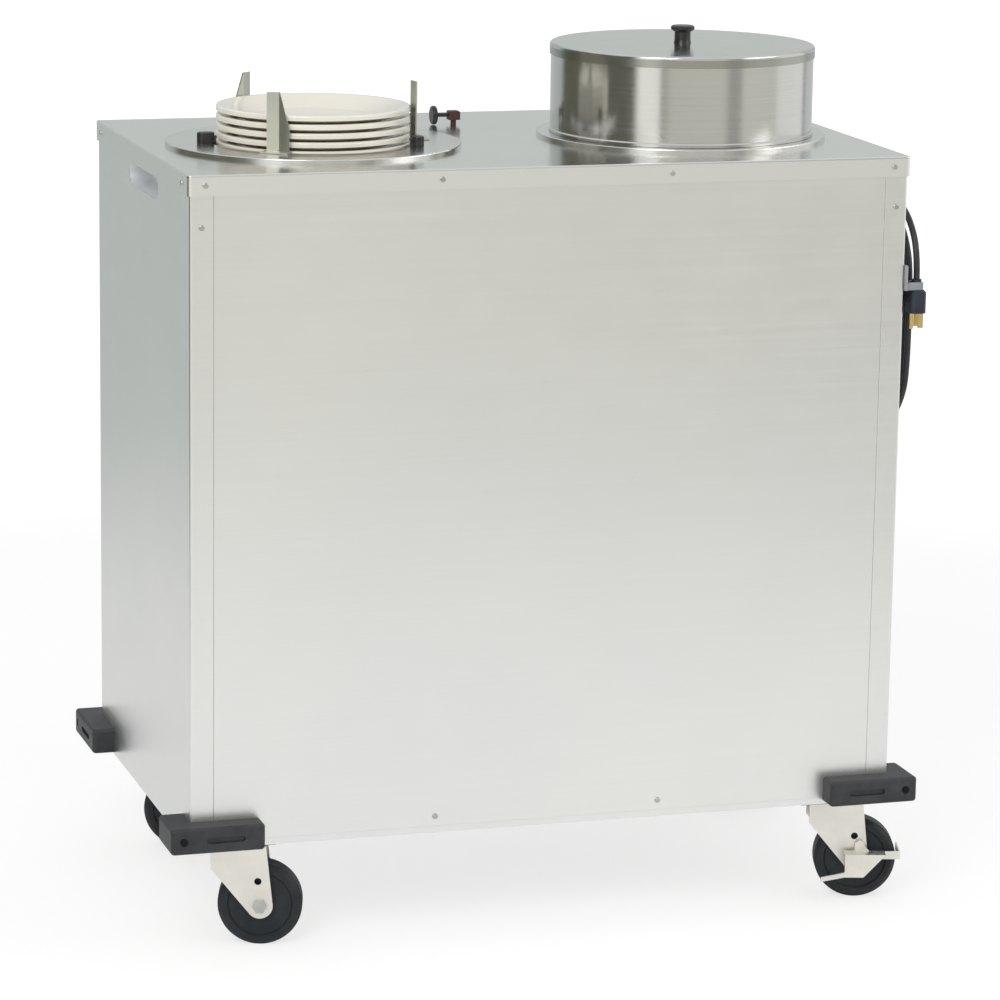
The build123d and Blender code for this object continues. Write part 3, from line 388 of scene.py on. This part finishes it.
def mottledMetal(name, values):
    material, tree, shader = newMaterial(name)
    stain = noiseOn(tree, scale=values["mottling"], detail=values["detail"])
    tone = blendColour(tree, spread(tree, stain, 0, 1), values["first"], values["second"])
    tree.links.new(tone, shader.inputs["Base Color"])
    tree.links.new(spread(tree, stain, values["low"], values["high"]), shader.inputs["Roughness"])
    tree.links.new(bumpFrom(tree, stain, values["bump"], values["depth"]), shader.inputs["Normal"])
    shader.inputs["Metallic"].default_value = values["metal"]
    return material


heatSheath = mottledMetal("elementSheath", elementValues)
plugBrass = mottledMetal("bladeBrass", brassValues)


# Moulded rubbers and plastics: fine texture, dull patches, paler scuffs

bumperRubberValues = {
    "deep": (0.014, 0.016, 0.018),
    "worn": (0.040, 0.042, 0.045),
    "low": 0.42,  # least roughness
    "high": 0.60,
    "grain": 900,
    "shine": 0.5,
}
wheelRubberValues = {
    "deep": (0.014, 0.018, 0.022),
    "worn": (0.028, 0.031, 0.034),
    "low": 0.42,
    "high": 0.60,
    "grain": 700,
    "shine": 0.28,
}
cordRubberValues = {
    "deep": (0.012, 0.012, 0.014),
    "worn": (0.030, 0.031, 0.034),
    "low": 0.38,
    "high": 0.52,
    "grain": 1500,
    "shine": 0.5,
}
plugRubberValues = {
    "deep": (0.010, 0.015, 0.026),
    "worn": (0.030, 0.037, 0.052),
    "low": 0.34,
    "high": 0.50,
    "grain": 1500,
    "shine": 0.5,
}
knobPlasticValues = {
    "deep": (0.010, 0.010, 0.012),
    "worn": (0.030, 0.030, 0.032),
    "low": 0.22,
    "high": 0.36,
    "grain": 1300,
    "shine": 0.5,
}
blockPlasticValues = {
    "deep": (0.050, 0.018, 0.015),
    "worn": (0.095, 0.040, 0.034),
    "low": 0.40,
    "high": 0.55,
    "grain": 1300,
    "shine": 0.5,
}
rockerPlasticValues = {
    "deep": (0.28, 0.018, 0.016),
    "worn": (0.40, 0.035, 0.03),
    "low": 0.28,
    "high": 0.38,
    "grain": 1300,
    "shine": 0.5,
}
clipPlasticValues = {
    "deep": (0.23, 0.24, 0.25),
    "worn": (0.33, 0.34, 0.34),
    "low": 0.42,
    "high": 0.55,
    "grain": 1300,
    "shine": 0.5,
}


def moulded(name, values):
    material, tree, shader = newMaterial(name)
    patches = noiseOn(tree, scale=38, detail=5, rough=0.62)
    grain = noiseOn(tree, scale=values["grain"], detail=2)
    scuffs = noiseOn(tree, (40, 40, 260), detail=4, rough=0.7)
    tone = blendColour(tree, spread(tree, patches, 0, 1, 0.35, 0.75), values["deep"], values["worn"])
    tone = blendColour(tree, spread(tree, scuffs, 0, 0.35, 0.6, 0.8), tone, values["worn"])
    tree.links.new(tone, shader.inputs["Base Color"])
    tree.links.new(spread(tree, patches, values["low"], values["high"]), shader.inputs["Roughness"])
    fine = bumpFrom(tree, grain, 0.10, 0.0002)
    tree.links.new(bumpFrom(tree, patches, 0.08, 0.001, fine), shader.inputs["Normal"])
    shader.inputs["Specular IOR Level"].default_value = values["shine"]
    return material


bumperRubber = moulded("bumperRubber", bumperRubberValues)
wheelRubber = moulded("wheelRubber", wheelRubberValues)
cordRubber = moulded("cordRubber", cordRubberValues)
plugRubber = moulded("plugRubber", plugRubberValues)
knobPlastic = moulded("knobPlastic", knobPlasticValues)
blockPlastic = moulded("controlBlockPlastic", blockPlasticValues)
rockerPlastic = moulded("rockerPlastic", rockerPlasticValues)
clipPlastic = moulded("clipPlastic", clipPlasticValues)


# Plates: cream glaze with warmer clouds and specks

glazeValues = {
    "cream": (0.84, 0.81, 0.71),
    "warm": (0.78, 0.73, 0.61),
    "low": 0.14,
    "high": 0.22,
    "coat": 0.5,
    "coatRough": 0.06,
}


def creamGlaze(values):
    material, tree, shader = newMaterial("creamGlaze")
    cloud = noiseOn(tree, scale=9, detail=4)
    specks = noiseOn(tree, scale=520, detail=2)
    tone = blendColour(tree, spread(tree, cloud, 0, 0.6), values["cream"], values["warm"])
    tone = blendColour(tree, spread(tree, specks, 0, 0.25, 0.68, 0.8), tone, values["warm"])
    tree.links.new(tone, shader.inputs["Base Color"])
    tree.links.new(spread(tree, cloud, values["low"], values["high"]), shader.inputs["Roughness"])
    tree.links.new(bumpFrom(tree, cloud, 0.04, 0.002), shader.inputs["Normal"])
    shader.inputs["Coat Weight"].default_value = values["coat"]
    shader.inputs["Coat Roughness"].default_value = values["coatRough"]
    return material


plateGlaze = creamGlaze(glazeValues)
print("materials made")


# Which finish goes on which piece of the frame, by the start of its name

finishes = {
    "base_pan": frontSheet,
    "side_panel": frontSheet,
    "front_panel": frontSheet,
    "rear_panel": frontSheet,
    "handhold_cups": cupMetal,
    "top_panel": topSheet,
    "screws": screwMetal,
    "corner_bumpers": bumperRubber,
    "silo_flange": ringMetal,
    "silo_tube": innerMetal,
    "silo_floors": innerMetal,
    "carrier": innerMetal,
    "springs": boltMetal,
    "heater_elements": heatSheath,
    "guide": guideMetal,
    "lock_knob": knobPlastic,
    "plate_stack": plateGlaze,
    "lid_shell": lidMetal,
    "lid_cap": capMetal,
    "lid_knob": knobPlastic,
    "temperature_block": blockPlastic,
    "temperature_knob": knobPlastic,
    "switch_frame": knobPlastic,
    "switch_rocker": rockerPlastic,
    "cord_gland": cordRubber,
    "cord_lead": cordRubber,
    "cord_winding": cordRubber,
    "cord_tail": cordRubber,
    "cord_hooks": innerMetal,
    "plug_clip": clipPlastic,
    "plug_body": plugRubber,
    "plug_blades": plugBrass,
    "caster_plates": casterPlate,
    "caster_fork": zincMetal,
    "caster_axle": boltMetal,
    "caster_wheel": wheelRubber,
    "brake_lever": zincMetal,
}


def dressFrame():
    for name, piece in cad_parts.items():
        for start, material in finishes.items():
            if name.startswith(start):
                for slot in piece.material_slots:
                    slot.material = material


dressFrame()
print("frame dressed")


# Mains cord: outlet, winding on the two hooks, and the run up to the parked plug

cordValues = {
    "side": 0.454,  # how far out the whole cord lies
    "thick": 0.0076,
    "length": 2.7678,
    "lead": ((-191, 711), (-191, 687), (-196, 662), (-190, 639), (-175, 620), (-153, 610.6)),
    "tail": ((-172, 858), (-213, 843), (-244, 807), (-244, 771)),  # both in millimetres
    "windingY": -128.8,
    "windingZ": 715.6,
    "innerRadius": 70.0,
    "startRadius": 62.0,
    "pitch": 8.4,
    "straight": 86.0,
    "turns": 3,
    "pointsInQuarter": 4,
    "smoothAlong": 6,
    "smoothRound": 5,
}


def turnPoints(centre, height, radius, fromAngle, quarters, perQuarter):
    step = pi / 2 / perQuarter
    reach = radius / cos(step / 2)  # outside the arc, so that the curve lies on it
    points = []
    for index in range(quarters * perQuarter):
        angle = fromAngle + (index + 0.5) * step
        points.append((centre + reach * cos(angle), height + reach * sin(angle)))
    return points


def windingPoints(values):
    low = values["windingZ"] - values["straight"] / 2
    high = values["windingZ"] + values["straight"] / 2
    edge = values["windingY"] + values["innerRadius"]
    perQuarter = values["pointsInQuarter"]
    grow = values["pitch"] / 2
    radius = values["startRadius"]
    points = turnPoints(edge - radius, low, radius, -pi / 2, 1, perQuarter)
    radius = values["innerRadius"]
    for turn in range(values["turns"]):
        radius += grow
        points += turnPoints(edge - radius, high, radius, 0, 2, perQuarter)
        edge -= 2 * radius
        radius += grow
        points += turnPoints(edge + radius, low, radius, pi, 2, perQuarter)
        edge += 2 * radius
    radius += grow
    return points + turnPoints(edge - radius, high, radius, 0, 1, perQuarter)


def addCord(values):
    route = list(values["lead"]) + windingPoints(values) + list(values["tail"])
    curve = bpy.data.curves.new("mainsCord", "CURVE")
    curve.dimensions = "3D"
    spline = curve.splines.new("NURBS")
    spline.points.add(len(route) - 1)
    for point, (y, z) in zip(spline.points, route):
        point.co = (values["side"], y / 1000, z / 1000, 1)
    spline.order_u = 3
    spline.use_endpoint_u = True
    spline.resolution_u = values["smoothAlong"]
    curve.bevel_depth = values["thick"] / 2
    curve.bevel_resolution = values["smoothRound"]
    curve.use_fill_caps = True
    cord = bpy.data.objects.new("mainsCord", curve)
    scene.collection.objects.link(cord)
    curve.materials.append(cordRubber)
    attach(cord, "cabinet")
    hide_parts("cord_lead", "cord_winding", "cord_tail")


addCord(cordValues)
print("cord wound on its hooks")


# Room: plain light, with tones that only the bright steel sees

roomValues = {
    "light": 0.72,
    "overhead": (0.85, 0.87, 0.90),
    "overheadFrom": 0.30,  # height in the sky, from 0 at the horizon to 1 above
    "overheadTo": 0.75,
}
roomTones = (  # degrees from the front towards the right, and the tone there
    (-180, (0.565, 0.60, 0.585)),
    (-152, (0.53, 0.57, 0.56)),
    (-143, (0.14, 0.14, 0.10)),
    (-62, (0.14, 0.14, 0.11)),
    (-56, (1.15, 1.15, 1.10)),
    (-39, (1.10, 1.10, 1.05)),
    (-36, (0.42, 0.41, 0.36)),
    (-28, (0.70, 0.69, 0.62)),
    (19, (0.72, 0.71, 0.65)),
    (24, (0.44, 0.44, 0.41)),
    (33, (0.46, 0.46, 0.43)),
    (37, (0.76, 0.75, 0.69)),
    (70, (0.74, 0.73, 0.67)),
    (76, (0.95, 0.95, 0.92)),
    (111, (0.95, 0.95, 0.95)),
    (117, (0.42, 0.44, 0.44)),
    (124, (0.65, 0.675, 0.665)),
    (180, (0.565, 0.60, 0.585)),
)


def tonesRound(tree, angle, tones):
    ramp = tree.nodes.new("ShaderNodeValToRGB")
    tree.links.new(spread(tree, angle, 0, 1, -pi, pi), ramp.inputs[0])
    elements = ramp.color_ramp.elements
    while len(elements) < len(tones):
        elements.new(0.5)
    for element, (degrees, tone) in zip(elements, tones):
        element.position = (degrees + 180) / 360
    for element, (degrees, tone) in zip(elements, tones):
        element.color = (*tone, 1)
    return ramp.outputs["Color"]


def addRoom(values, tones):
    world = bpy.data.worlds.new("studio")
    scene.world = world
    world.use_nodes = True
    tree = world.node_tree
    tree.nodes.clear()
    place = placeOn(tree, "Generated")
    away = combine(tree, "MULTIPLY", place["Y"], -1)
    angle = combine(tree, "ARCTAN2", place["X"], away)
    upward = spread(tree, place["Z"], 0, 1, values["overheadFrom"], values["overheadTo"])
    steelSees = blendColour(tree, upward, tonesRound(tree, angle, tones), values["overhead"])
    seen = tree.nodes.new("ShaderNodeLightPath").outputs
    lit = blendColour(tree, seen["Is Glossy Ray"], (values["light"],) * 3, steelSees)
    lit = blendColour(tree, seen["Is Camera Ray"], lit, (1, 1, 1))
    lit = blendColour(tree, seen["Is Transmission Ray"], lit, (1, 1, 1))
    background = tree.nodes.new("ShaderNodeBackground")
    tree.links.new(lit, background.inputs["Color"])
    output = tree.nodes.new("ShaderNodeOutputWorld")
    tree.links.new(background.outputs[0], output.inputs[0])


addRoom(roomValues, roomTones)


# Floor: white to the camera with the object's soft shadow on it, and gone to metal further off

floorValues = {
    "half": 18.0,
    "colour": (0.93, 0.93, 0.93),
    "rough": 0.9,
    "shine": 0.1,
    "fadeFrom": 1.92,  # metres from the middle
    "fadeTo": 3.0,
    "white": 0.62,  # share of plain white that the camera sees near the object, over its shadow
    "whiteStrength": 1.1,
}


def mixShaders(tree, factor, first, second):
    mix = tree.nodes.new("ShaderNodeMixShader")
    tree.links.new(factor, mix.inputs[0])
    tree.links.new(first.outputs[0], mix.inputs[1])
    tree.links.new(second.outputs[0], mix.inputs[2])
    return mix


def paleFloor(values):
    material, tree, shader = newMaterial("paleFloor")
    shader.inputs["Base Color"].default_value = (*values["colour"], 1)
    shader.inputs["Roughness"].default_value = values["rough"]
    shader.inputs["Specular IOR Level"].default_value = values["shine"]
    place = tree.nodes.new("ShaderNodeNewGeometry")
    fromMiddle = tree.nodes.new("ShaderNodeVectorMath")
    fromMiddle.operation = "LENGTH"
    tree.links.new(place.outputs["Position"], fromMiddle.inputs[0])
    far = spread(tree, fromMiddle.outputs["Value"], 0, 1, values["fadeFrom"], values["fadeTo"])
    seen = tree.nodes.new("ShaderNodeLightPath").outputs
    hidden = combine(tree, "MULTIPLY", far, seen["Is Glossy Ray"])
    whiteness = spread(tree, far, values["white"], 1, 0, 1)
    whitened = combine(tree, "MULTIPLY", whiteness, seen["Is Camera Ray"])
    clear = tree.nodes.new("ShaderNodeBsdfTransparent")
    white = tree.nodes.new("ShaderNodeEmission")
    white.inputs["Strength"].default_value = values["whiteStrength"]
    shown = mixShaders(tree, whitened, mixShaders(tree, hidden, shader, clear), white)
    tree.links.new(shown.outputs[0], tree.nodes["Material Output"].inputs["Surface"])
    return material


def addFloor(values):
    half = values["half"]
    mesh = bpy.data.meshes.new("studioFloor")
    corners = [(-half, -half, 0), (half, -half, 0), (half, half, 0), (-half, half, 0)]
    mesh.from_pydata(corners, [], [(0, 1, 2, 3)])
    mesh.materials.append(paleFloor(values))
    floor = bpy.data.objects.new("studioFloor", mesh)
    scene.collection.objects.link(floor)


addFloor(floorValues)


# Lamps: two round soft ones, aimed at the middle of the cabinet

lampAim = (0, 0, 0.5)
keyValues = {"place": (-2.6, -3.4, 3.6), "size": 2.6, "power": 85}
fillValues = {"place": (3.4, -2.2, 2.6), "size": 2.4, "power": 26}


def addLamp(name, values):
    lamp = bpy.data.lights.new(name, "AREA")
    lamp.shape = "DISK"
    lamp.size = values["size"]
    lamp.energy = values["power"]
    piece = bpy.data.objects.new(name, lamp)
    piece.location = values["place"]
    aim = Vector(lampAim) - Vector(values["place"])
    piece.rotation_euler = aim.to_track_quat("-Z", "Y").to_euler()
    scene.collection.objects.link(piece)


addLamp("keyLamp", keyValues)
addLamp("fillLamp", fillValues)
print("studio lit")
